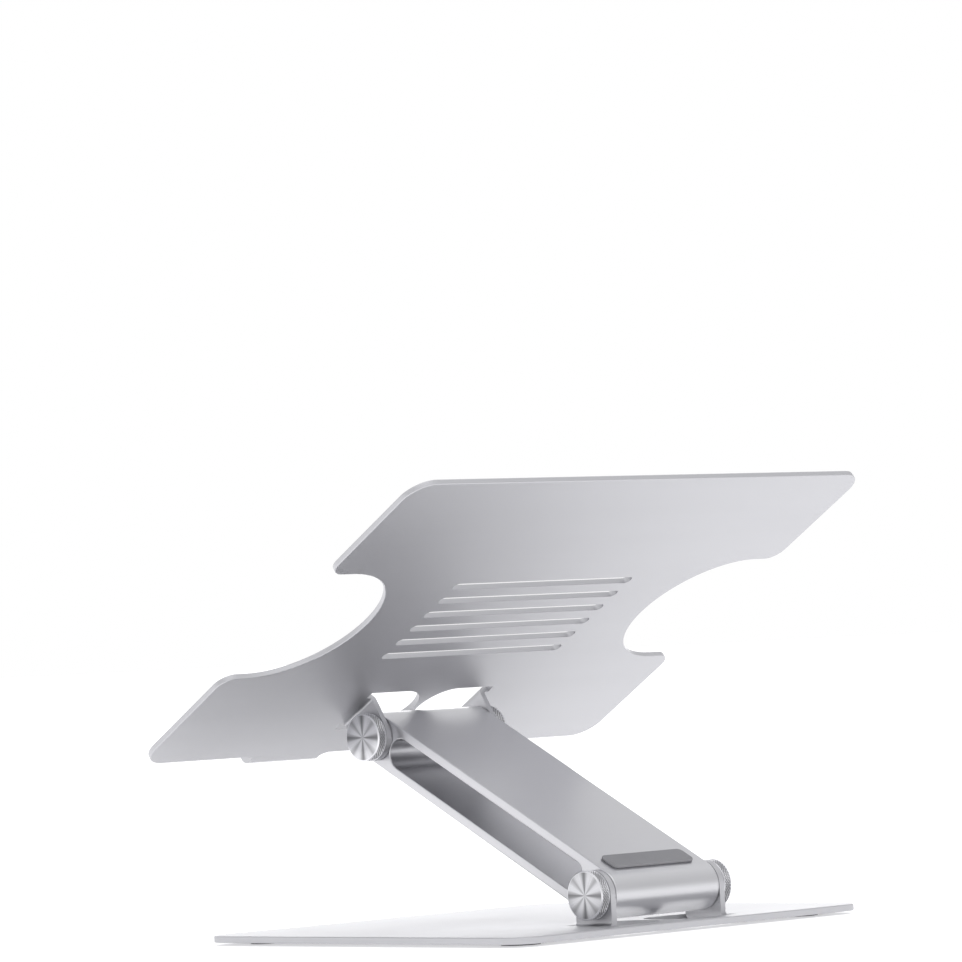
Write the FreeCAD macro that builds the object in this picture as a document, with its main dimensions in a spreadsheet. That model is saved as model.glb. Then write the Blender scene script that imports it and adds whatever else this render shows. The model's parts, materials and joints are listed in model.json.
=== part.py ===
import FreeCAD, Part
import os
import re
import Sketcher

# Folding laptop stand: a base plate, an arm and a tray, joined by two friction hinges.
# Millimetres, +Z up, +Y to the rear, origin on the desk under the middle of the base plate.
# The arm leans forward from the lower hinge, and the tray slopes up to the rear from the upper one.

doc = FreeCAD.newDocument("LaptopStand")

# ---------------------------------------------------------------- driving sizes
SIZES = {
    # base plate and its feet; the tray's sheet has the same rounded rim
    "base_width": 250.2,
    "base_depth": 230.4,
    "base_sheet": 3.5,
    "base_corner": 13.0,
    "sheet_edge": 0.6,
    "foot_height": 1.5,
    "foot_diameter": 20.0,
    "foot_inset": 24.0,
    # lower hinge: its axis from the rear edge of the base and from the top of its sheet
    "lower_setback": 31.7,
    "lower_height": 15.2,
    # arm, measured from the lower hinge to the upper one
    "arm_length": 176.3,
    "arm_half_width": 37.3,
    "arm_radius": 12.7,
    "arm_elevation": 27.7,
    "window_half_height": 7.9,
    "window_low_end": 14.5,
    "window_high_end": 12.4,
    "window_corner": 5.0,
    "arm_edge": 0.6,
    # hinge hardware, the same at both hinges
    "shaft_diameter": 8.0,
    "shaft_fit": 0.05,
    "shaft_chamfer": 0.5,
    "bush_wall": 1.5,
    "bush_length": 12.0,
    "bush_fit": 0.02,
    "friction_washer": 0.5,
    "friction_diameter": 24.0,
    "spring_washer": 0.3,
    "spring_diameter": 24.0,
    "turning_gap": 0.05,
    "knob_diameter": 24.9,
    "knob_thickness": 5.6,
    "knob_chamfer": 0.7,
    "knob_bore_depth": 4.2,
    "insert_wall": 2.0,
    # ears bent out of the sheets, and the openings that this leaves
    "ear_radius": 12.4,
    "ear_gap": 5.0,
    "ear_foot": 44.3,
    "opening_tip": 1.5,
    "ear_neck": 3.0,
    "bend_radius": 1.5,
    # tray, measured along its slope from the upper hinge
    "tray_width": 324.9,
    "tray_rear": 210.4,
    "tray_front": 40.3,
    "tray_sheet": 3.0,
    "tray_corner": 14.0,
    "tray_height": 16.1,
    "tray_tilt": 31.6,
    "cut_radius": 46.5,
    "cut_depth": 62.5,
    "cut_place": 85.6,
    "cut_corner": 9.0,
    "cut_overrun": 1.0,
    "slot_length": 129.1,
    "slot_width": 5.5,
    "slot_pitch": 12.7,
    "slot_rear": 116.9,
    # hooks at the tray's front edge
    "hook_place": 60.0,
    "hook_width": 48.0,
    "hook_reach": 9.0,
    "hook_rise": 13.6,
    "hook_corner": 6.0,
    "hook_root": 4.0,
    # rubber
    "pad_thickness": 1.5,
    "arm_pad_length": 58.0,
    "arm_pad_width": 12.0,
    "arm_pad_start": 2.0,
    "arm_pad_corner": 3.0,
    "tray_pad_length": 78.0,
    "tray_pad_width": 18.0,
    "tray_pad_place": 92.0,
    "tray_pad_inset": 20.0,
    "tray_pad_corner": 6.0,
    "hook_pad_margin": 4.0,
    "hook_pad_inset": 1.0,
}
SLOT_COUNT = 6
SAME = 0.001  # how closely two coordinates agree when an edge is looked for

# ---------------------------------------------------------------- worked out from the sizes
PLACES = {
    # lower hinge in the whole stand, and the upper one at the arm's other end
    "lower_y": "base_depth / 2 - lower_setback",
    "lower_z": "foot_height + base_sheet + lower_height",
    "upper_y": "lower_y - arm_length * cos(arm_elevation * 1deg)",
    "upper_z": "lower_z + arm_length * sin(arm_elevation * 1deg)",
    # the stack along each shaft, from the middle outwards
    "washer_start": "arm_half_width + turning_gap",
    "ear_inner": "washer_start + friction_washer",
    "base_ear_outer": "ear_inner + base_sheet",
    "tray_ear_outer": "ear_inner + tray_sheet",
    "base_knob_start": "base_ear_outer + spring_washer + turning_gap",
    "tray_knob_start": "tray_ear_outer + spring_washer + turning_gap",
    # radii round each shaft
    "shaft_radius": "shaft_diameter / 2",
    "shaft_hole": "shaft_radius + shaft_fit",
    "bush_radius": "shaft_hole + bush_wall",
    "arm_bore": "bush_radius + bush_fit",
    "insert_radius": "shaft_hole + insert_wall",
    "insert_bore": "insert_radius + bush_fit",
    # the openings beside the ears: half their width, and the centre of their round inner ends
    "opening_half": "ear_radius + ear_gap",
    "opening_centre": "opening_tip + opening_half",
    # tray
    "tray_top": "tray_height + tray_sheet",
    "tray_half": "tray_width / 2",
    "cut_centre": "tray_half - cut_depth + cut_radius",
    "hook_front": "tray_front + hook_reach",
    "hook_inner": "hook_front - tray_sheet",
    "hook_left": "hook_place - hook_width / 2",
    "hook_right": "hook_place + hook_width / 2",
    "hook_top": "tray_top + hook_rise",
    "hook_pad_face": "hook_inner - pad_thickness",
    "hook_pad_low": "tray_top + bend_radius + hook_pad_inset",
    "hook_pad_high": "hook_top - hook_pad_inset",
}


def formula(text):
    """Write the sheet's name before each size in an expression."""
    def with_sheet(match):
        word = match.group()
        if word in SIZES:
            return "Sizes." + word
        return "Places." + word if word in PLACES else word
    return re.sub(r"[a-z][a-z_]*", with_sheet, text)


def fill_sheet(name, rows, as_formula):
    sheet = doc.addObject("Spreadsheet::Sheet", name)
    for row, (alias, content) in enumerate(rows.items(), start=1):
        sheet.set(f"A{row}", alias)
        sheet.set(f"B{row}", "=" + formula(content) if as_formula else str(content))
        sheet.setAlias(f"B{row}", alias)
    doc.recompute()
    return sheet


sizes = fill_sheet("Sizes", SIZES, False)
places = fill_sheet("Places", PLACES, True)


def value(text):
    """The number that an expression in the sheets' names gives."""
    return float(sizes.evalExpression(formula(text)))


def bind(thing, prop, text):
    thing.setExpression(prop, formula(text))


# ---------------------------------------------------------------- bodies and where they stand
def new_body(label, y="0", z="0", turn="0", axis=(1, 0, 0)):
    """A body whose own frame stands at (0, y, z), turned about an axis by some degrees."""
    body = doc.addObject("PartDesign::Body", label)
    body.Label = label
    body.Placement = FreeCAD.Placement(FreeCAD.Vector(), FreeCAD.Rotation(FreeCAD.Vector(*axis), 1))
    bind(body, "Placement.Base.y", y)
    bind(body, "Placement.Base.z", z)
    bind(body, "Placement.Rotation.Angle", turn)
    return body


def at_arm(label):
    """Own frame on the lower hinge, -Y along the arm to the upper hinge."""
    return new_body(label, "lower_y", "lower_z", "-arm_elevation")


def at_tray(label):
    """Own frame on the upper hinge, +Y up the tray's slope, +Z square to the tray."""
    return new_body(label, "upper_y", "upper_z", "tray_tilt")


def at_lower_hinge(label, turn="0"):
    return new_body(label, "lower_y", "lower_z", turn, (0, 0, 1))


def at_upper_hinge(label, turn="0"):
    return new_body(label, "upper_y", "upper_z", turn, (0, 0, 1))


# ---------------------------------------------------------------- sketches
def origin_part(body, role):
    return next(item for item in body.Origin.OriginFeatures if item.Role == role)


def new_sketch(body, name, role, offset="0"):
    """A sketch on one of the body's origin planes, moved along the plane's normal."""
    sketch = body.newObject("Sketcher::SketchObject", name)
    sketch.AttachmentSupport = [(origin_part(body, role), "")]
    sketch.MapMode = "FlatFace"
    bind(sketch, "AttachmentOffset.Base.z", offset)
    return sketch


def dimension(sketch, kind, where, text):
    """A dimension of the sketch that follows an expression."""
    index = sketch.addConstraint(Sketcher.Constraint(kind, *where, value(text)))
    name = f"{kind}{index}"
    sketch.renameConstraint(index, name)
    bind(sketch, "Constraints." + name, text)


def pin(sketch, item, point, x, y):
    """Hold a point of the sketch at (x, y)."""
    dimension(sketch, "DistanceX", (-1, 1, item, point), x)
    dimension(sketch, "DistanceY", (-1, 1, item, point), y)


def draw_polygon(sketch, corners):
    spots = [FreeCAD.Vector(value(x), value(y)) for x, y in corners]
    first = sketch.GeometryCount
    count = len(spots)
    for step in range(count):
        sketch.addGeometry(Part.LineSegment(spots[step], spots[(step + 1) % count]))
    for step in range(count):
        after = first + (step + 1) % count
        sketch.addConstraint(Sketcher.Constraint("Coincident", first + step, 2, after, 1))
    for step, (x, y) in enumerate(corners):
        pin(sketch, first + step, 1, x, y)


def draw_box(sketch, left, right, low, high):
    draw_polygon(sketch, [(left, low), (right, low), (right, high), (left, high)])


def draw_circle(sketch, x, y, radius):
    centre = FreeCAD.Vector(value(x), value(y))
    item = sketch.addGeometry(Part.Circle(centre, FreeCAD.Vector(0, 0, 1), value(radius)))
    dimension(sketch, "Radius", (item,), radius)
    pin(sketch, item, 3, x, y)


def draw_slot(sketch, left, right, y, radius):
    """A slot with round ends, centred at left and right on the same height."""
    up = FreeCAD.Vector(0, value(radius))
    west = FreeCAD.Vector(value(left), value(y))
    east = FreeCAD.Vector(value(right), value(y))
    out = FreeCAD.Vector(value(radius), 0)
    top = sketch.addGeometry(Part.LineSegment(east + up, west + up))
    left_arc = sketch.addGeometry(Part.Arc(west + up, west - out, west - up))
    bottom = sketch.addGeometry(Part.LineSegment(west - up, east - up))
    right_arc = sketch.addGeometry(Part.Arc(east - up, east + out, east + up))
    for one, end, other, start in [(top, 2, left_arc, 1), (left_arc, 2, bottom, 1),
                                   (bottom, 2, right_arc, 1), (right_arc, 2, top, 1)]:
        sketch.addConstraint(Sketcher.Constraint("Tangent", one, end, other, start))
    dimension(sketch, "Radius", (left_arc,), radius)
    pin(sketch, left_arc, 3, left, y)
    dimension(sketch, "DistanceX", (-1, 1, right_arc, 3), right)


# ---------------------------------------------------------------- features
def add(body, name, sketch, length, both_ways=False):
    """Pad a sketch along its normal, or equally to both sides of its plane."""
    pad = body.newObject("PartDesign::Pad", name)
    pad.Profile = sketch
    pad.SideType = "Symmetric" if both_ways else "One side"
    bind(pad, "Length", length)
    doc.recompute()
    return pad


def cut_through(body, name, sketch):
    """Pocket a sketch through everything on both sides of its plane."""
    before = body.Shape.Volume
    pocket = body.newObject("PartDesign::Pocket", name)
    pocket.Profile = sketch
    pocket.SideType = "Symmetric"
    pocket.Type = "ThroughAll"
    doc.recompute()
    if not body.Shape.Volume < before:
        raise ValueError(f"{body.Label}: {name} cuts nothing")
    return pocket


def mirror(body, name, features):
    """Repeat features on the other side of the stand's middle plane."""
    mirrored = body.newObject("PartDesign::Mirrored", name)
    mirrored.Originals = features
    mirrored.MirrorPlane = (origin_part(body, "YZ_Plane"), [""])
    body.Tip = mirrored
    doc.recompute()
    return mirrored


def dress_edges(body, kind, name, size_name, size, test):
    """Fillet or chamfer the edges of the body's last feature that pass a test."""
    base = body.Tip
    chosen = []
    for number, edge in enumerate(base.Shape.Edges, start=1):
        middle = edge.valueAt((edge.FirstParameter + edge.LastParameter) / 2)
        if test(edge, middle):
            chosen.append(f"Edge{number}")
    if not chosen:
        raise ValueError(f"{body.Label}: {name} finds no edge")
    dressing = body.newObject(kind, name)
    dressing.Base = (base, chosen)
    bind(dressing, size_name, size)
    doc.recompute()
    if "Invalid" in dressing.State:
        raise ValueError(f"{body.Label}: {name} can't be made")
    return dressing


def round_edges(body, name, radius, test):
    return dress_edges(body, "PartDesign::Fillet", name, "Radius", radius, test)


def chamfer_edges(body, name, size, test):
    return dress_edges(body, "PartDesign::Chamfer", name, "Size", size, test)


def near(one, other):
    return abs(one - other) < SAME


def runs_along(edge, axis):
    """Whether a straight edge is parallel to an axis, given as 0, 1 or 2."""
    if not isinstance(edge.Curve, Part.Line):
        return False
    return near(abs(edge.Curve.Direction[axis]), 1)


def is_circle(edge, radius):
    return isinstance(edge.Curve, Part.Circle) and near(edge.Curve.Radius, value(radius))


def flat_at(edge, axis, level):
    """Whether an edge lies in the plane where one coordinate has a set value."""
    ends = [edge.valueAt(edge.FirstParameter), edge.valueAt(edge.LastParameter)]
    middle = edge.valueAt((edge.FirstParameter + edge.LastParameter) / 2)
    return all(near(point[axis], level) for point in ends + [middle])


# ---------------------------------------------------------------- plates with bent ears
def add_ears(body, sheet_low, sheet_high, way, outer):
    """Two ears bent out of a sheet round the hinge axis, which lies on the body's X axis.

    way is 1 where the sheet lies above the hinge and -1 where it lies below. The sheet's face
    nearest the hinge is at sheet_low, and its far face at sheet_high.
    """
    bend = new_sketch(body, "BendSketch", "XZ_Plane")
    neck = f"{sheet_low} - {way} * ear_neck"
    draw_polygon(bend, [("ear_foot", sheet_low), (outer, sheet_low), (outer, neck),
                        ("ear_inner", neck), ("ear_inner", sheet_high), ("ear_foot", sheet_high)])
    folded = add(body, "Bend", bend, "2 * ear_radius", both_ways=True)
    blade = new_sketch(body, "BladeSketch", "YZ_Plane", "ear_inner")
    draw_polygon(blade, [("ear_radius", neck), ("ear_radius", "0"),
                         ("-ear_radius", "0"), ("-ear_radius", neck)])
    flat = add(body, "Blade", blade, f"{outer} - ear_inner")
    tip = new_sketch(body, "TipSketch", "YZ_Plane", "ear_inner")
    draw_circle(tip, "0", "0", "ear_radius")
    disc = add(body, "Tip", tip, f"{outer} - ear_inner")
    mirror(body, "OtherEar", [folded, flat, disc])
    hole = new_sketch(body, "EarHoleSketch", "YZ_Plane")
    draw_circle(hole, "0", "0", "shaft_hole")
    cut_through(body, "EarHole", hole)
    low = value(sheet_low)
    high = value(sheet_high)
    round_edges(body, "InnerBend", "bend_radius", lambda edge, middle: runs_along(edge, 1)
                and near(abs(middle.x), value(outer)) and near(middle.z, low))
    round_edges(body, "OuterBend", f"bend_radius + {outer} - ear_inner", lambda edge, middle:
                runs_along(edge, 1) and near(abs(middle.x), value("ear_inner")) and near(middle.z, high))


def cut_ear_openings(body):
    """The two openings that the ears were bent out of, each round at its inner end."""
    for side, name in [("", "Right"), ("-", "Left")]:
        straight = new_sketch(body, f"Opening{name}Sketch", "XY_Plane")
        draw_box(straight, f"{side}opening_centre", f"{side}ear_foot", "-opening_half", "opening_half")
        cut_through(body, f"Opening{name}", straight)
        end = new_sketch(body, f"End{name}Sketch", "XY_Plane")
        draw_circle(end, f"{side}opening_centre", "0", "opening_half")
        cut_through(body, f"End{name}", end)


def make_base_plate():
    body = new_body("base_plate", "lower_y", "lower_z")
    low = "-(lower_height + base_sheet)"
    high = "-lower_height"
    outline = new_sketch(body, "Outline", "XY_Plane", low)
    draw_box(outline, "-base_width / 2", "base_width / 2", "lower_setback - base_depth", "lower_setback")
    add(body, "Sheet", outline, "base_sheet")
    round_edges(body, "Corners", "base_corner", lambda edge, middle: runs_along(edge, 2))
    levels = (value(low), value(high))
    round_edges(body, "Rim", "sheet_edge", lambda edge, middle: flat_at(edge, 2, levels[0])
                or flat_at(edge, 2, levels[1]))
    cut_ear_openings(body)
    add_ears(body, high, low, -1, "base_ear_outer")


def make_base_feet():
    body = new_body("base_feet")
    sketch = new_sketch(body, "Discs", "XY_Plane")
    for x_side in ("", "-"):
        for y_side in ("", "-"):
            draw_circle(sketch, f"{x_side}(base_width / 2 - foot_inset)",
                        f"{y_side}(base_depth / 2 - foot_inset)", "foot_diameter / 2")
    add(body, "Feet", sketch, "foot_height")


# ---------------------------------------------------------------- arm
def make_arm():
    body = at_arm("arm_profile")
    profile = new_sketch(body, "Profile", "YZ_Plane")
    draw_slot(profile, "-arm_length", "0", "0", "arm_radius")
    add(body, "Extrusion", profile, "2 * arm_half_width", both_ways=True)
    window = new_sketch(body, "WindowSketch", "YZ_Plane")
    draw_box(window, "-(arm_length - window_high_end - window_half_height)", "-window_low_end",
             "-window_half_height", "window_half_height")
    cut_through(body, "Window", window)
    high_end = new_sketch(body, "WindowEndSketch", "YZ_Plane")
    draw_circle(high_end, "-(arm_length - window_high_end - window_half_height)", "0", "window_half_height")
    cut_through(body, "WindowEnd", high_end)
    low_end = -value("window_low_end")
    round_edges(body, "WindowCorners", "window_corner", lambda edge, middle: runs_along(edge, 0)
                and near(middle.y, low_end) and near(abs(middle.z), value("window_half_height")))
    bores = new_sketch(body, "Bores", "YZ_Plane")
    draw_circle(bores, "0", "0", "arm_bore")
    draw_circle(bores, "-arm_length", "0", "arm_bore")
    cut_through(body, "HingeBores", bores)
    half = value("arm_half_width")
    round_edges(body, "SideEdges", "arm_edge", lambda edge, middle: not is_circle(edge, "arm_bore")
                and (flat_at(edge, 0, half) or flat_at(edge, 0, -half)))


def make_arm_pad():
    body = at_arm("arm_pad")
    sketch = new_sketch(body, "Outline", "XY_Plane", "arm_radius")
    draw_box(sketch, "-arm_pad_length / 2", "arm_pad_length / 2",
             "-(arm_pad_start + arm_pad_width)", "-arm_pad_start")
    add(body, "Rubber", sketch, "pad_thickness")
    round_edges(body, "Corners", "arm_pad_corner", lambda edge, middle: runs_along(edge, 2))


# ---------------------------------------------------------------- hinge hardware
def make_rings(body, outer, inner, start, length):
    """Two equal rings round the shaft, one on each side of the stand's middle."""
    sketch = new_sketch(body, "Ring", "YZ_Plane", start)
    draw_circle(sketch, "0", "0", outer)
    draw_circle(sketch, "0", "0", inner)
    ring = add(body, "Near", sketch, length)
    mirror(body, "Far", [ring])


def make_shaft(body, knob_start):
    sketch = new_sketch(body, "Section", "YZ_Plane")
    draw_circle(sketch, "0", "0", "shaft_radius")
    add(body, "Rod", sketch, f"2 * ({knob_start} + knob_bore_depth - 2 * turning_gap)", both_ways=True)
    chamfer_edges(body, "Ends", "shaft_chamfer", lambda edge, middle: is_circle(edge, "shaft_radius"))


def make_knob(body, start, bore):
    """A round knob with a blind bore for the shaft's end, turned about the X axis."""
    end = f"({start} + knob_thickness)"
    floor = f"({start} + knob_bore_depth)"
    rim = "(knob_diameter / 2)"
    sketch = new_sketch(body, "HalfSection", "XY_Plane")
    draw_polygon(sketch, [(start, bore), (start, f"{rim} - knob_chamfer"), (f"{start} + knob_chamfer", rim),
                          (f"{end} - knob_chamfer", rim), (end, f"{rim} - knob_chamfer"), (end, "0"),
                          (floor, "0"), (floor, bore)])
    turned = body.newObject("PartDesign::Revolution", "Turned")
    turned.Profile = sketch
    turned.ReferenceAxis = (sketch, ["H_Axis"])
    turned.Angle = 360
    doc.recompute()


def make_insert(body, start):
    sketch = new_sketch(body, "Ring", "YZ_Plane", start)
    draw_circle(sketch, "0", "0", "insert_radius")
    draw_circle(sketch, "0", "0", "shaft_hole")
    add(body, "Sleeve", sketch, "knob_bore_depth - turning_gap")


def make_hinge(level, place, ear_outer, knob_start):
    """All the hardware of one hinge; place makes a body that stands at the hinge."""
    make_shaft(place(f"{level}_shaft"), knob_start)
    make_rings(place(f"{level}_friction_washers"), "friction_diameter / 2", "shaft_hole",
               "washer_start", "friction_washer")
    make_rings(place(f"{level}_spring_washers"), "spring_diameter / 2", "shaft_hole",
               ear_outer, "spring_washer")
    make_knob(place(f"{level}_fixed_knob", "180"), knob_start, "shaft_hole")
    make_knob(place(f"{level}_turning_knob"), knob_start, "insert_bore")
    make_insert(place(f"{level}_knob_insert"), knob_start)


def make_bushes(label, y):
    """Two bushes pressed in one of the arm's bores, flush with the arm's sides."""
    body = at_arm(label)
    sketch = new_sketch(body, "Ring", "YZ_Plane", "arm_half_width - bush_length")
    draw_circle(sketch, y, "0", "bush_radius")
    draw_circle(sketch, y, "0", "shaft_hole")
    ring = add(body, "Near", sketch, "bush_length")
    mirror(body, "Far", [ring])


# ---------------------------------------------------------------- tray
def cut_sides(body):
    """A round bite in each side of the tray, meeting its edge square."""
    for side, name in [("", "Right"), ("-", "Left")]:
        bite = new_sketch(body, f"Bite{name}Sketch", "XY_Plane", "tray_height")
        draw_circle(bite, f"{side}cut_centre", "cut_place", "cut_radius")
        cut_through(body, f"Bite{name}", bite)
        mouth = new_sketch(body, f"Mouth{name}Sketch", "XY_Plane", "tray_height")
        draw_box(mouth, f"{side}cut_centre", f"{side}(tray_half + cut_overrun)",
                 "cut_place - cut_radius", "cut_place + cut_radius")
        cut_through(body, f"Mouth{name}", mouth)


def cut_slots(body):
    sketch = new_sketch(body, "SlotSketch", "XY_Plane", "tray_height")
    for step in range(SLOT_COUNT):
        draw_slot(sketch, "-(slot_length - slot_width) / 2", "(slot_length - slot_width) / 2",
                  f"slot_rear - {step} * slot_pitch", "slot_width / 2")
    cut_through(body, "Slots", sketch)


def add_hooks(body):
    """Two tabs at the front edge, bent up to hold the laptop."""
    sketch = new_sketch(body, "HookSketch", "YZ_Plane", "hook_left")
    draw_polygon(sketch, [("-tray_front + tray_corner", "tray_height"), ("-hook_front", "tray_height"),
                          ("-hook_front", "hook_top"), ("-hook_inner", "hook_top"),
                          ("-hook_inner", "tray_top"), ("-tray_front + tray_corner", "tray_top")])
    hook = add(body, "Hook", sketch, "hook_width")
    mirror(body, "OtherHook", [hook])
    front = -value("hook_front")
    inner = -value("hook_inner")
    top = value("hook_top")
    round_edges(body, "HookOuterBend", "bend_radius + tray_sheet", lambda edge, middle:
                runs_along(edge, 0) and near(middle.y, front) and near(middle.z, value("tray_height")))
    round_edges(body, "HookInnerBend", "bend_radius", lambda edge, middle:
                runs_along(edge, 0) and near(middle.y, inner) and near(middle.z, value("tray_top")))
    round_edges(body, "HookTopCorners", "hook_corner", lambda edge, middle:
                runs_along(edge, 1) and near(middle.z, top))


def add_hook_roots(body):
    """A concave round where each side of a hook meets the tray's front edge."""
    blocks = new_sketch(body, "RootSketch", "XY_Plane", "tray_height")
    rounds = new_sketch(body, "RootRoundSketch", "XY_Plane", "tray_height")
    for side in ("", "-"):
        for edge, way in (("hook_left", "-"), ("hook_right", "+")):
            far = f"{side}({edge} {way} hook_root)"
            draw_box(blocks, f"{side}{edge}", far, "-(tray_front + hook_root)", "-tray_front + tray_sheet")
            draw_circle(rounds, far, "-(tray_front + hook_root)", "hook_root")
    add(body, "Roots", blocks, "tray_sheet")
    cut_through(body, "RootRounds", rounds)


def make_tray():
    body = at_tray("tray_plate")
    outline = new_sketch(body, "Outline", "XY_Plane", "tray_height")
    draw_box(outline, "-tray_half", "tray_half", "-tray_front", "tray_rear")
    add(body, "Sheet", outline, "tray_sheet")
    round_edges(body, "Corners", "tray_corner", lambda edge, middle: runs_along(edge, 2))
    cut_sides(body)
    round_edges(body, "CutCorners", "cut_corner", lambda edge, middle: runs_along(edge, 2)
                and near(abs(middle.x), value("tray_half")) and near(
                    abs(middle.y - value("cut_place")), value("cut_radius")))
    levels = (value("tray_height"), value("tray_top"))
    round_edges(body, "Rim", "sheet_edge", lambda edge, middle: flat_at(edge, 2, levels[0])
                or flat_at(edge, 2, levels[1]))
    add_hooks(body)
    add_hook_roots(body)
    cut_slots(body)
    cut_ear_openings(body)
    add_ears(body, "tray_height", "tray_top", 1, "tray_ear_outer")


def make_tray_pads(label, y_low, y_high):
    """A pair of rubber pads on the tray's top face."""
    body = at_tray(label)
    sketch = new_sketch(body, "Outlines", "XY_Plane", "tray_top")
    for side in ("", "-"):
        draw_box(sketch, f"{side}(tray_pad_place - tray_pad_length / 2)",
                 f"{side}(tray_pad_place + tray_pad_length / 2)", y_low, y_high)
    add(body, "Rubber", sketch, "pad_thickness")
    round_edges(body, "Corners", "tray_pad_corner", lambda edge, middle: runs_along(edge, 2))


def make_hook_pads():
    """A rubber pad on the inner face of each hook, where the laptop's front edge rests."""
    body = at_tray("hook_pads")
    sketch = new_sketch(body, "Section", "YZ_Plane", "hook_left + hook_pad_margin")
    draw_box(sketch, "-hook_inner", "-hook_pad_face", "hook_pad_low", "hook_pad_high")
    pad = add(body, "Near", sketch, "hook_width - 2 * hook_pad_margin")
    mirror(body, "Far", [pad])


# ---------------------------------------------------------------- the whole stand
make_base_plate()
make_base_feet()
make_arm()
make_arm_pad()
make_bushes("lower_bushes", "0")
make_bushes("upper_bushes", "-arm_length")
make_hinge("lower", at_lower_hinge, "base_ear_outer", "base_knob_start")
make_hinge("upper", at_upper_hinge, "tray_ear_outer", "tray_knob_start")
make_tray()
make_tray_pads("tray_rear_pads", "tray_rear - tray_pad_inset - tray_pad_width", "tray_rear - tray_pad_inset")
make_tray_pads("tray_front_pads", "-tray_pad_width", "0")
make_hook_pads()

doc.recompute()
for item in doc.Objects:
    if "Invalid" in item.State or "Error" in item.State:
        raise ValueError(f"{item.Label} failed: {item.State}")

os.makedirs("parts", exist_ok=True)
for body in doc.findObjects("PartDesign::Body"):
    shape = body.Shape
    if shape.isNull() or not shape.isValid():
        raise ValueError(f"{body.Label} has no valid shape")
    shape.exportStep(f"parts/{body.Label}.step")
    print(f"{body.Label}: {len(shape.Solids)} solid(s), {shape.Volume / 1000:.2f} cm3")
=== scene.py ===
# %% [markdown]
# # A folding laptop stand in satin aluminium
#
# The stand is a flat base, one wide arm with a window through it, and a sloping tray with round
# bites in its sides. Two friction hinges with knurled knobs hold it where it is put. The solids
# come from the engineering model, in metres, already in their places. This lesson gives them
# their finishes, remakes the knobs and the rubber parts in finer detail, and sets up the studio.

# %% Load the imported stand
import json
import math

import bmesh
import bpy
from mathutils import Matrix, Quaternion, Vector


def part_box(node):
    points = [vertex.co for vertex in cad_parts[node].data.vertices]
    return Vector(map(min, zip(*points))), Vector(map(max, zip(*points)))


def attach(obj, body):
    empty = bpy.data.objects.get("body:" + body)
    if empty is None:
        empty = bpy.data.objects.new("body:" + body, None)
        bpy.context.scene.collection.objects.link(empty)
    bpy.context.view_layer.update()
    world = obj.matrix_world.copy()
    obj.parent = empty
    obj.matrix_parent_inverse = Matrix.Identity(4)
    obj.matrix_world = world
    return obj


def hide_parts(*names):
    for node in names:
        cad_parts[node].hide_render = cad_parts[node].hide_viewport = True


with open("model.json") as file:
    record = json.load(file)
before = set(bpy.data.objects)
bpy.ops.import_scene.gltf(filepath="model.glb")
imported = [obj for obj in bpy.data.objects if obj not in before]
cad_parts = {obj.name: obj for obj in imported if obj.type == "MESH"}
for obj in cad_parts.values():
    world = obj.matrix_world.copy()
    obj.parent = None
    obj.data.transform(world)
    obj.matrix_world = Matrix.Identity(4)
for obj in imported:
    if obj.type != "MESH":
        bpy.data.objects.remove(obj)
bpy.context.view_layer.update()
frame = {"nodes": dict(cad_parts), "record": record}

# %% [markdown]
# ## The camera
#
# The stand is seen from behind, low down, from almost three metres away through a long lens, so
# that its edges stay nearly parallel. A camera in Blender looks along its own -Z axis, so the line
# of sight is turned into a rotation with to_track_quat. A small roll about that line tips the
# picture, as happens when a tripod isn't quite level.

# %% Place the camera
MM = 0.001


def place_camera(place, aim, roll, lens):
    """Put the camera at a point, facing another, tipped by some degrees about its line of sight."""
    camera = bpy.data.objects.new("camera", bpy.data.cameras.new("camera"))
    sight = Vector(aim) - Vector(place)
    camera.location = place
    camera.rotation_mode = "QUATERNION"
    tip = Quaternion((0, 0, 1), math.radians(roll))
    camera.rotation_quaternion = sight.to_track_quat("-Z", "Y") @ tip
    camera.data.lens = lens
    camera.data.clip_end = 100
    bpy.context.scene.collection.objects.link(camera)
    bpy.context.scene.camera = camera
    return sight.length


distance = place_camera((2.0323, 2.0378, 0.1520), (0.0116, -0.0116, 0.2315), -2.803, 209.16)
print("the camera is", round(distance, 2), "m away")

# %% [markdown]
# ## Node trees written as sums
#
# A finish is a web of nodes, and links made one by one are hard to read. The class below wraps a
# socket so that Python's own signs work on it: `1 - mask` adds a Math node for the subtraction.
# Every other kind of node comes from one method, which takes the node's type, its settings and
# what goes into its sockets. Colours go through a Mix node, because a Math node would turn them
# grey.

# %% Wrap a socket so that it can be added and multiplied
class Wire:
    """The output of a node, with arithmetic."""

    def __init__(self, tree, socket):
        self.tree = tree
        self.socket = socket

    def worked(self, operation, *values):
        """One Math node on these values."""
        return self.tree.node("ShaderNodeMath", {"operation": operation}, dict(enumerate(values)))

    def __add__(self, other):
        return self.worked("ADD", self, other)

    def __radd__(self, other):
        return self.worked("ADD", other, self)

    def __sub__(self, other):
        return self.worked("SUBTRACT", self, other)

    def __rsub__(self, other):
        return self.worked("SUBTRACT", other, self)

    def __mul__(self, other):
        return self.worked("MULTIPLY", self, other)

    def __rmul__(self, other):
        return self.worked("MULTIPLY", other, self)

    def __truediv__(self, other):
        return self.worked("DIVIDE", self, other)

    def __pow__(self, other):
        return self.worked("POWER", self, other)

    def cosine(self):
        return self.worked("COSINE", self)

    def clamped(self):
        return self.worked("MINIMUM", self.worked("MAXIMUM", self, 0.0), 1.0)


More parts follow.
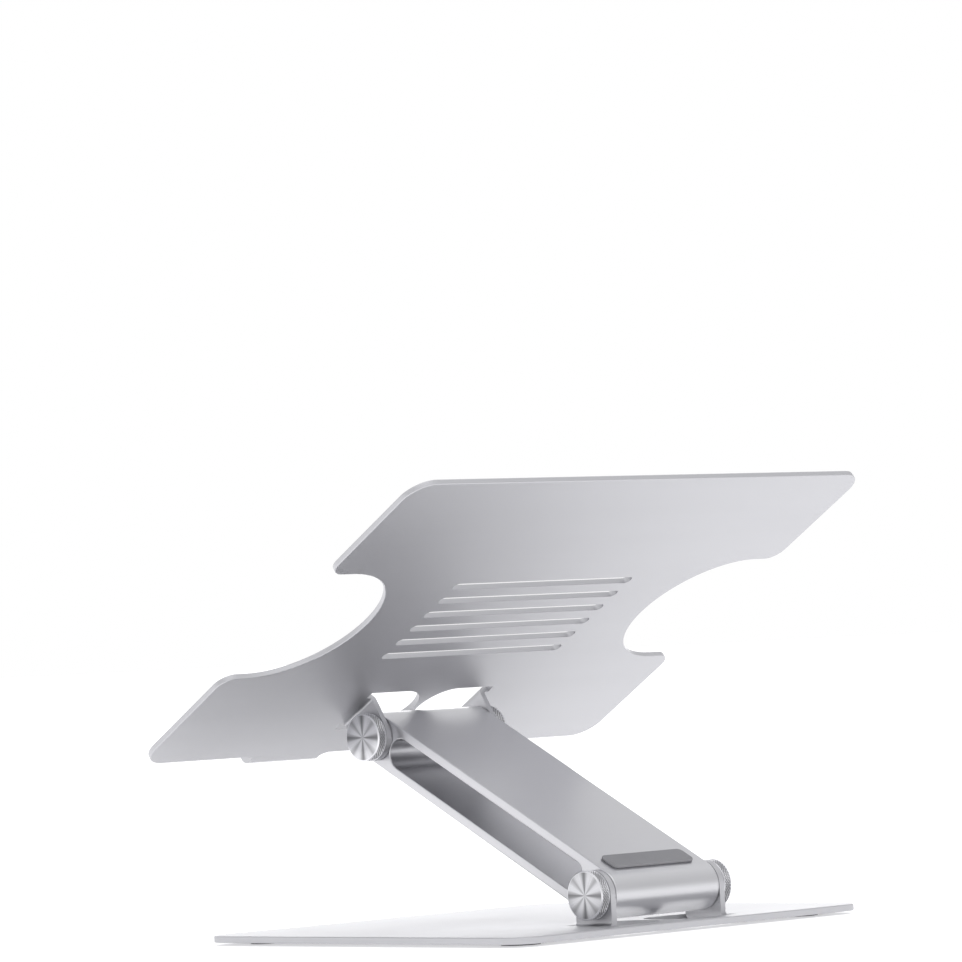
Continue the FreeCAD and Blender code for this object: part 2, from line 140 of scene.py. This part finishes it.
# %% The one method that makes every node
class Tree:
    """A node tree, of a finish or of the sky."""

    def __init__(self, nodes):
        self.nodes = nodes

    def feed(self, socket, value):
        """Link a wire to a socket, or set the socket's own value."""
        if isinstance(value, Wire):
            self.nodes.links.new(value.socket, socket)
        else:
            socket.default_value = value

    def node(self, kind, settings=None, sockets=None, output=0):
        """Add a node, set it up, fill its sockets, and hand back one of its outputs."""
        made = self.nodes.nodes.new(kind)
        for key, setting in (settings or {}).items():
            if key == "stops":
                self.set_stops(made.color_ramp.elements, setting)
            else:
                setattr(made, key, setting)
        for key, value in (sockets or {}).items():
            self.feed(made.inputs[key], value)
        return Wire(self, made.outputs[output]) if made.outputs else None

    def set_stops(self, ramp, stops):
        """A new ramp has two stops; each further one is added at its place."""
        for step, (place, colour) in enumerate(stops):
            stop = ramp[step] if step < 2 else ramp.new(place)
            stop.position = place
            stop.color = (*colour, 1)


# %% [markdown]
# ## What every finish shares
#
# A finish is a material with one Principled shader. Values that are the same all over the piece,
# such as the metallic value, are set on the shader itself. Three things change over the surface:
# the shade, the roughness and the fine relief. The noises are measured in lumps to the metre on
# the piece's own coordinates, so they stay on the piece when it moves.

# %% A finish and its building blocks
class Finish(Tree):
    """A material with one Principled shader."""

    def __init__(self, name, colour, uniform):
        self.material = bpy.data.materials.new(name)
        self.material.use_nodes = True
        self.material.diffuse_color = (*colour, 1)
        super().__init__(self.material.node_tree)
        self.shader = self.nodes.nodes["Principled BSDF"]
        self.colour = colour
        self.feed(self.shader.inputs["Base Color"], (*colour, 1))
        for socket, number in uniform.items():
            self.feed(self.shader.inputs[socket], number)

    def place(self):
        """Where a point lies on the piece, in metres."""
        return self.node("ShaderNodeTexCoord", output="Object")

    def stretched(self, scale):
        """The same point after each of its coordinates is multiplied."""
        settings = {"operation": "MULTIPLY"}
        return self.node("ShaderNodeVectorMath", settings, {0: self.place(), 1: scale})

    def noise(self, scale, detail=2.0, roughness=0.5, where=None):
        """Soft random values round 0.5, with this many lumps to the metre."""
        sockets = {"Vector": where or self.place(), "Scale": scale, "Detail": detail}
        sockets["Roughness"] = roughness
        return self.node("ShaderNodeTexNoise", {}, sockets)

    def shaded(self, amount):
        """The finish's colour, darkened or lightened by a factor that changes over the surface."""
        grey = self.node("ShaderNodeCombineColor", {}, {0: amount, 1: amount, 2: amount})
        mix = {"data_type": "RGBA", "blend_type": "MULTIPLY"}
        return self.node("ShaderNodeMix", mix, {0: 1.0, 6: (*self.colour, 1), 7: grey}, output=2)

    def bumped(self, height, distance, strength):
        """A normal that follows a height, given in parts of a distance in metres."""
        sockets = {"Height": height, "Distance": distance, "Strength": strength}
        return self.node("ShaderNodeBump", {}, sockets)

    def ends(self, shade, rough, relief):
        """Feed the three sockets of the shader that change over the surface."""
        wires = {"Base Color": self.shaded(shade), "Roughness": rough, "Normal": relief}
        for socket, wire in wires.items():
            self.feed(self.shader.inputs[socket], wire)
        print(self.material.name, "has", len(self.nodes.nodes), "nodes")
        return self.material


# %% [markdown]
# ## Bead-blasted sheet
#
# The base and the tray are cut from aluminium sheet, blasted with fine glass beads and anodised.
# Blasting leaves tiny dimples, about five to a millimetre, which blur every reflection. A noise of
# that size goes into a Bump node. A second, much wider noise shifts the roughness and the shade by
# a few hundredths, because no anodising bath is perfectly even.

# %% The sheet's finish
def blasted_aluminium():
    finish = Finish("satin_aluminium", (0.55, 0.55, 0.57), {"Metallic": 1.0})
    dimples = finish.noise(5200, detail=3, roughness=0.6)
    clouds = finish.noise(14, detail=3)
    streaks = finish.noise(60, detail=2, where=finish.stretched((0.08, 1.0, 1.0)))
    shade = 0.955 + 0.05 * clouds + 0.04 * streaks
    rough = 0.42 + 0.07 * clouds + 0.05 * dimples
    relief = finish.bumped(dimples, 0.02 * MM, 0.55)
    return finish.ends(shade, rough, relief)


# %% [markdown]
# ## Extruded arm
#
# The arm is a length of extruded profile, so its skin carries very faint lines across its width,
# where the die dragged. Stretching a noise along X draws those lines. The skin is smoother than
# the blasted sheet, and its round ends show brighter and sharper bands of light.

# %% The arm's finish
def extruded_aluminium():
    finish = Finish("arm_aluminium", (0.62, 0.62, 0.64), {"Metallic": 1.0})
    lines = finish.noise(1500, detail=2, where=finish.stretched((0.01, 1.0, 1.0)))
    grains = finish.noise(4200, detail=2)
    clouds = finish.noise(20, detail=2)
    shade = 0.95 + 0.06 * clouds + 0.03 * lines
    rough = 0.26 + 0.06 * clouds + 0.05 * grains
    relief = finish.bumped(0.6 * lines + 0.4 * grains, 0.012 * MM, 0.5)
    return finish.ends(shade, rough, relief)


# %% [markdown]
# ## Turned knobs
#
# A knob's face is cut on a lathe, and its rings of fine grooves spread the light into rays. Here
# those rays are a painted reflection in the face's colour. They need the angle round the knob's
# own axis, so each knob's mesh is built about its own origin and then carried to its hinge.
# ARCTAN2 gives the angle, and cosines of four and eight times that angle paint four dark rays and
# eight lighter ones. The rings themselves are a bump, from the cosine of the distance to the
# middle. Masks keep each effect to its place: the painted rays and the rings lie within the
# face's radius, and the knurl's grooves, painted darker as painted shade, lie between the two
# smooth lips. Each mask fades over a fraction of a millimetre, and the knurl's tips stay bright.

# %% Sizes of the knob that its finish and its mesh share
knob_low, knob_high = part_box("lower_turning_knob")
knob_radius = (knob_high.z - knob_low.z) / 2
knob_thickness = knob_high.x - knob_low.x
FACE_EDGE = 0.75 * MM
KNURL_DEPTH = 0.55 * MM
BACK_LIP = 0.6 * MM
FRONT_LIP = 0.7 * MM
print("a knob is", round(2 * knob_radius / MM, 1), "mm across and",
      round(knob_thickness / MM, 1), "mm thick")


# %% The knob's finish, with painted rays and painted shade in the knurl's grooves
RING_PITCH = 0.32 * MM
TIP_HEIGHT = 0.06 * MM
FACE_BLUR = 0.25 * MM
LIP_BLUR = 0.125 * MM


def turned_aluminium():
    finish = Finish("turned_aluminium", (0.62, 0.62, 0.64), {"Metallic": 1.0})
    spot = finish.place()
    x, y, z = (finish.node("ShaderNodeSeparateXYZ", {}, {0: spot}, output=axis)
               for axis in range(3))
    radius = (y * y + z * z) ** 0.5
    angle = y.worked("ARCTAN2", z, y)
    # The rays are a painted reflection: light and dark spokes in the base colour, fixed on the
    # face.
    wide_painted_rays = (0.5 + 0.5 * (angle * 8).cosine()) ** 2
    narrow_painted_rays = (0.5 + 0.5 * (angle * 4).cosine()) ** 7
    turn = finish.node("ShaderNodeCombineXYZ", {}, {0: y / (radius + 1e-6), 1: z / (radius + 1e-6)})
    fine = finish.noise(14, detail=4, where=turn)
    painted_rays = 1.08 - 0.42 * wide_painted_rays - 0.30 * narrow_painted_rays - 0.40 * (fine - 0.5)
    # The knurl's grooves are painted darker, as painted shade in the recesses; the tips and lips
    # keep the brighter tone.
    painted_groove_shade = ((knob_radius - TIP_HEIGHT - radius) / KNURL_DEPTH).clamped()
    off_front = ((knob_thickness - FRONT_LIP - x) * (1 / LIP_BLUR)).clamped()
    off_back = ((x - BACK_LIP) * (1 / LIP_BLUR)).clamped()
    rim = 1.28 - 1.05 * painted_groove_shade * (off_front * off_back)
    on_face = ((knob_radius - FACE_EDGE - radius) * (1 / FACE_BLUR)).clamped()
    shade = rim + on_face * (painted_rays - rim)
    grooves = (radius * (2 * math.pi / RING_PITCH)).cosine()
    relief = finish.bumped(grooves * on_face, 0.006 * MM, 0.8)
    return finish.ends(shade, 0.24 + 0.10 * fine, relief)


# %% [markdown]
# ## Steel, brass and plastic inside the hinges
#
# These parts hardly show, but someone who takes the hinge apart will look at them. The shafts and
# washers are plain turned steel with rings left by the tool, the inserts are brass, and the bushes
# are a dark engineering plastic with a faint mould texture.

# %% Finishes for the hardware
def turned_metal(name, colour, rough):
    finish = Finish(name, colour, {"Metallic": 1.0})
    rings = finish.noise(2600, detail=2, where=finish.stretched((1.0, 0.02, 0.02)))
    stain = finish.noise(90, detail=3)
    shade = 0.90 + 0.10 * stain + 0.06 * rings
    relief = finish.bumped(rings, 0.01 * MM, 0.5)
    return finish.ends(shade, rough + 0.10 * stain, relief)


def bush_plastic():
    finish = Finish("bush_plastic", (0.16, 0.16, 0.17), {"Metallic": 0.0})
    mould = finish.noise(1800, detail=2)
    cloud = finish.noise(150, detail=2)
    relief = finish.bumped(mould, 0.02 * MM, 0.5)
    return finish.ends(0.94 + 0.08 * cloud, 0.42 + 0.12 * mould, relief)


# %% [markdown]
# ## Rubber
#
# The pads are grey silicone with a matt, finely pitted skin. Dust and fingers lighten such rubber
# unevenly, so a cloudy noise changes its shade. It isn't metal: its gloss comes from the shader's
# own specular level, and it is rough.

# %% The rubber's finish
def silicone(name, colour):
    finish = Finish(name, colour, {"Specular IOR Level": 0.35})
    pits = finish.noise(3200, detail=3, roughness=0.6)
    dust = finish.noise(120, detail=4)
    relief = finish.bumped(pits, 0.05 * MM, 0.6)
    return finish.ends(0.90 + 0.16 * dust, 0.62 + 0.16 * dust, relief)


# %% Make every finish once
finishes = {
    "satin_aluminium": blasted_aluminium(),
    "arm_aluminium": extruded_aluminium(),
    "turned_aluminium": turned_aluminium(),
    "hinge_steel": turned_metal("hinge_steel", (0.60, 0.60, 0.61), 0.25),
    "insert_brass": turned_metal("insert_brass", (0.80, 0.62, 0.32), 0.28),
    "bush_plastic": bush_plastic(),
    "grey_rubber": silicone("grey_rubber", (0.27, 0.27, 0.285)),
    "foot_rubber": silicone("foot_rubber", (0.07, 0.07, 0.075)),
}

# %% [markdown]
# ## The solids that keep their own shape
#
# The plates, the arm, the shafts, the washers, the inserts and the bushes already have the right
# shape. The record says which finish each one has and which body it rides on, so a loop can put
# the new material in the slots of each object.

# %% Put the finishes on the solids
slot_of = {row["node"]: row["material_slot"] for row in frame["record"]["subparts"]}
bodies = frame["record"]["behaviour"]["bodies"]
body_of = {node: body for body, nodes in bodies.items() for node in nodes}
for node, solid in frame["nodes"].items():
    for place in solid.material_slots:
        place.material = finishes[slot_of[node]]
    print(node, "rides on", body_of[node], "in", slot_of[node])


# %% [markdown]
# ## Handing a finished piece over
#
# Every new piece needs the same four things: a mesh in an object, crisp shading, the material of
# its slot, and a CAD body to ride on. One function does them, and hides the solid that the piece
# stands for. Smooth shading is right for curves, but an edge sharper than some angle has to stay
# sharp, or the light would smear round it.

# %% Turn a bmesh into a piece of the stand
def hand_over(mesh, name, node, sharp, own_place=None):
    """sharp is the angle in degrees above which an edge stays sharp."""
    bmesh.ops.recalc_face_normals(mesh, faces=mesh.faces)
    data = bpy.data.meshes.new(name)
    mesh.to_mesh(data)
    mesh.free()
    data.materials.append(finishes[slot_of[node]])
    data.shade_smooth()
    data.set_sharp_from_angle(angle=math.radians(sharp))
    piece = bpy.data.objects.new(name, data)
    if own_place is not None:
        piece.matrix_world = own_place
    bpy.context.scene.collection.objects.link(piece)
    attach(piece, body_of[node])
    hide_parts(node)
    print(name, "has", len(data.polygons), "faces")
    return piece


# %% [markdown]
# ## Knurled knobs
#
# A knurl is rolled into a knob's rim: two sets of slanting grooves cross and leave rows of small
# pyramids. A grid round the rim can make them with no booleans. Where row and column add up to an
# even number two grooves cross, so that vertex is low; the others are tips, so they stand high.
# Each square of the grid is then split from low corner to low corner, along a groove.
#
# The rest of the knob is a stack of rings: a blind bore for the shaft, a bevelled back, two smooth
# lips that frame the knurl, a bevel and a face that is dished by less than a tenth of a millimetre.

# %% Sizes of the knob's rim, bevels and bore
DIAMONDS_ROUND = 44
DIAMONDS_ALONG = 3
COLUMNS = 2 * DIAMONDS_ROUND
BEVEL = 0.55 * MM
LIP_DROP = 0.12 * MM
DISH = 0.08 * MM
BORE_DEPTH = 4.2 * MM
BORE_CHAMFER = 0.4 * MM


# %% Rings, and the skin between two of them
def ring(mesh, along, radius):
    """A ring of vertices round the X axis."""
    turns = (2 * math.pi * column / COLUMNS for column in range(COLUMNS))
    places = [(along, radius * math.cos(turn), radius * math.sin(turn)) for turn in turns]
    return [mesh.verts.new(place) for place in places]


def skin(mesh, one, other, split=None):
    """Faces between two rings; split is the row's number where its squares are cut in two."""
    for column in range(COLUMNS):
        after = (column + 1) % COLUMNS
        a, b, c, d = one[column], one[after], other[after], other[column]
        if split is None:
            mesh.faces.new((a, b, c, d))
        elif (split + column) % 2 == 0:
            mesh.faces.new((a, b, c))
            mesh.faces.new((a, c, d))
        else:
            mesh.faces.new((a, b, d))
            mesh.faces.new((b, c, d))


# %% Knurl the rim
def knurl(mesh, thickness, radius):
    """Rings of vertices, high at the diamonds' tips and low where two grooves cross."""
    rows = 2 * DIAMONDS_ALONG
    step = (thickness - BACK_LIP - FRONT_LIP) / rows
    bands = []
    for row in range(rows + 1):
        band = ring(mesh, BACK_LIP + row * step, radius)
        for column, vertex in enumerate(band):
            if (row + column) % 2 == 0:
                vertex.co.yz = vertex.co.yz * (1 - KNURL_DEPTH / radius)
        bands.append(band)
    return bands


# %% Make one knob about its own axis
def knurled(mesh, thickness, radius, bore):
    """The face is at +X; the origin is on the axis, in the plane of the back."""
    front = thickness - FRONT_LIP
    back_profile = [(BORE_DEPTH, bore), (BORE_CHAMFER, bore), (0, bore + BORE_CHAMFER),
                    (0, radius - BEVEL), (0.12 * MM, radius - 0.25 * MM),
                    (0.35 * MM, radius - LIP_DROP), (BACK_LIP - 0.05 * MM, radius - LIP_DROP)]
    front_profile = [(front + 0.05 * MM, radius - 0.25 * MM),
                     (front + 0.18 * MM, radius - 0.05 * MM),
                     (thickness - BEVEL, radius - 0.05 * MM),
                     (thickness - 0.06 * MM, radius - BEVEL),
                     (thickness, radius - FACE_EDGE), (thickness - 0.05 * MM, 0.5 * radius),
                     (thickness - DISH, 0.6 * MM)]
    bands = knurl(mesh, thickness, radius)
    before = [ring(mesh, along, far) for along, far in back_profile]
    after = [ring(mesh, along, far) for along, far in front_profile]
    for one, other in zip(before, before[1:]):
        skin(mesh, one, other)
    skin(mesh, before[-1], bands[0])
    for row, (one, other) in enumerate(zip(bands, bands[1:])):
        skin(mesh, one, other, split=row)
    skin(mesh, bands[-1], after[0])
    for one, other in zip(after, after[1:]):
        skin(mesh, one, other)
    mesh.faces.new(before[0])
    mesh.faces.new(after[-1])


# %% Put a knob on each end of both shafts
BORE_ROOM = 0.04 * MM


def place_knob(node, inside):
    """inside is the part that fills the knob's bore, and gives its width."""
    low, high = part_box(node)
    filler_low, filler_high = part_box(inside)
    middle = (low + high) / 2
    outward = middle.x > 0
    mesh = bmesh.new()
    bore = (filler_high.z - filler_low.z) / 2 + BORE_ROOM
    knurled(mesh, high.x - low.x, (high.z - low.z) / 2, bore)
    back = Matrix.Translation((low.x if outward else high.x, middle.y, middle.z))
    turn = Matrix.Rotation(0 if outward else math.pi, 4, "Z")
    name = node.replace("_knob", "_knurled_knob")
    hand_over(mesh, name, node, sharp=32, own_place=back @ turn)


for level in ("lower", "upper"):
    place_knob(f"{level}_turning_knob", f"{level}_knob_insert")
    place_knob(f"{level}_fixed_knob", f"{level}_shaft")

# %% [markdown]
# ## Rubber pads and feet
#
# Moulded rubber never has a sharp edge. The solids of the pads give the outline, so each is copied,
# its flat triangles are joined into whole faces, and the sharp edges are bevelled in several steps.
# The copy's corners, where facets meet at small angles, aren't touched.

# %% Copy a solid with soft edges
FLAT = math.radians(1)
CRISP = math.radians(50)


def soften(node, name, edge):
    """edge is the width that the bevel takes off each sharp edge."""
    mesh = bmesh.new()
    mesh.from_mesh(frame["nodes"][node].data)
    bmesh.ops.remove_doubles(mesh, verts=mesh.verts, dist=0.01 * MM)
    bmesh.ops.dissolve_limit(mesh, angle_limit=FLAT, verts=mesh.verts, edges=mesh.edges)
    crisp = [line for line in mesh.edges if line.is_manifold and line.calc_face_angle() > CRISP]
    bmesh.ops.bevel(mesh, geom=crisp, offset=edge, segments=4, profile=0.5, affect="EDGES")
    return hand_over(mesh, name, node, sharp=60)


soften("arm_pad", "arm_rubber", 0.45 * MM)
soften("tray_rear_pads", "tray_rear_rubber", 0.5 * MM)
soften("tray_front_pads", "tray_front_rubber", 0.5 * MM)
soften("hook_pads", "hook_rubber", 0.45 * MM)
soften("base_feet", "foot_rubber_discs", 0.4 * MM)

# %% [markdown]
# ## The studio
#
# Metal shows what surrounds it, so the studio matters as much as the finish. The floor is a wide
# pale disc that glows a little, as a light table does, so that the shadow in the gap under the
# base stays soft. The sky is a ramp on the height of the direction: bright at the horizon, greyer
# above it and bright again overhead, which draws the bands on the arm's round ends. A camera ray
# sees plain white instead, through the Light Path node, so the backdrop stays clean.

# %% Lay the floor
FLOOR_RADIUS = 40


def lay_floor():
    mesh = bmesh.new()
    bmesh.ops.create_circle(mesh, cap_ends=True, segments=128, radius=FLOOR_RADIUS)
    data = bpy.data.meshes.new("floor")
    mesh.to_mesh(data)
    mesh.free()
    floor = bpy.data.objects.new("floor", data)
    bpy.context.scene.collection.objects.link(floor)
    paint = Finish("floor_paint", (0.92, 0.92, 0.925), {
        "Roughness": 0.9, "Specular IOR Level": 0.1,
        "Emission Color": (1, 1, 1, 1), "Emission Strength": 0.38})
    data.materials.append(paint.material)


lay_floor()


# %% Paint the sky
SKY_STOPS = [(0.0, 0.90), (0.08, 0.84), (0.20, 0.60), (0.50, 0.66), (1.0, 0.95)]
SKY_STRENGTH = 1.22
SKY_BLUE = 1.01


def paint_sky():
    world = bpy.data.worlds.new("studio")
    bpy.context.scene.world = world
    world.use_nodes = True
    world.node_tree.nodes.clear()
    tree = Tree(world.node_tree)
    direction = tree.node("ShaderNodeTexCoord", output="Generated")
    height = tree.node("ShaderNodeSeparateXYZ", {}, {0: direction}, output=2)
    stops = [(place, (shade, shade, SKY_BLUE * shade)) for place, shade in SKY_STOPS]
    colour = tree.node("ShaderNodeValToRGB", {"stops": stops}, {0: height})
    sky = tree.node("ShaderNodeBackground", {}, {"Color": colour, "Strength": SKY_STRENGTH})
    backdrop = tree.node("ShaderNodeBackground", {}, {"Color": (1, 1, 1, 1)})
    seen = tree.node("ShaderNodeLightPath", output="Is Camera Ray")
    either = tree.node("ShaderNodeMixShader", {}, {0: seen, 1: sky, 2: backdrop})
    tree.node("ShaderNodeOutputWorld", {}, {0: either})
    print("the sky has", len(world.node_tree.nodes), "nodes")


paint_sky()


# %% [markdown]
# ## Soft lights
#
# Three big area lights finish the studio. The one overhead gives the soft shadow, the one at the
# side only fills it, and the low one in front brightens the base, which mirrors that direction.

# %% Hang the soft lights
def softbox(name, place, aim, size, power):
    """A flat light at a place, facing a point; size is its width and height, power is in watts."""
    lamp = bpy.data.lights.new(name, "AREA")
    lamp.shape = "RECTANGLE"
    lamp.size, lamp.size_y = size
    lamp.energy = power
    light = bpy.data.objects.new(name, lamp)
    light.location = place
    light.rotation_mode = "QUATERNION"
    light.rotation_quaternion = (Vector(aim) - Vector(place)).to_track_quat("-Z", "Y")
    light.visible_camera = False
    bpy.context.scene.collection.objects.link(light)
    print(name, "gives", power, "W")


softbox("overhead", (0.3, 0.2, 2.6), (0, 0, 0.1), (2.4, 2.4), 8)
softbox("side", (2.6, -2.2, 1.0), (0, 0, 0.12), (2.0, 2.0), 2)
softbox("front", (-2.4, -2.2, 0.7), (0, 0, 0.1), (3.0, 1.0), 22)

bpy.context.scene.view_settings.view_transform = "Standard"
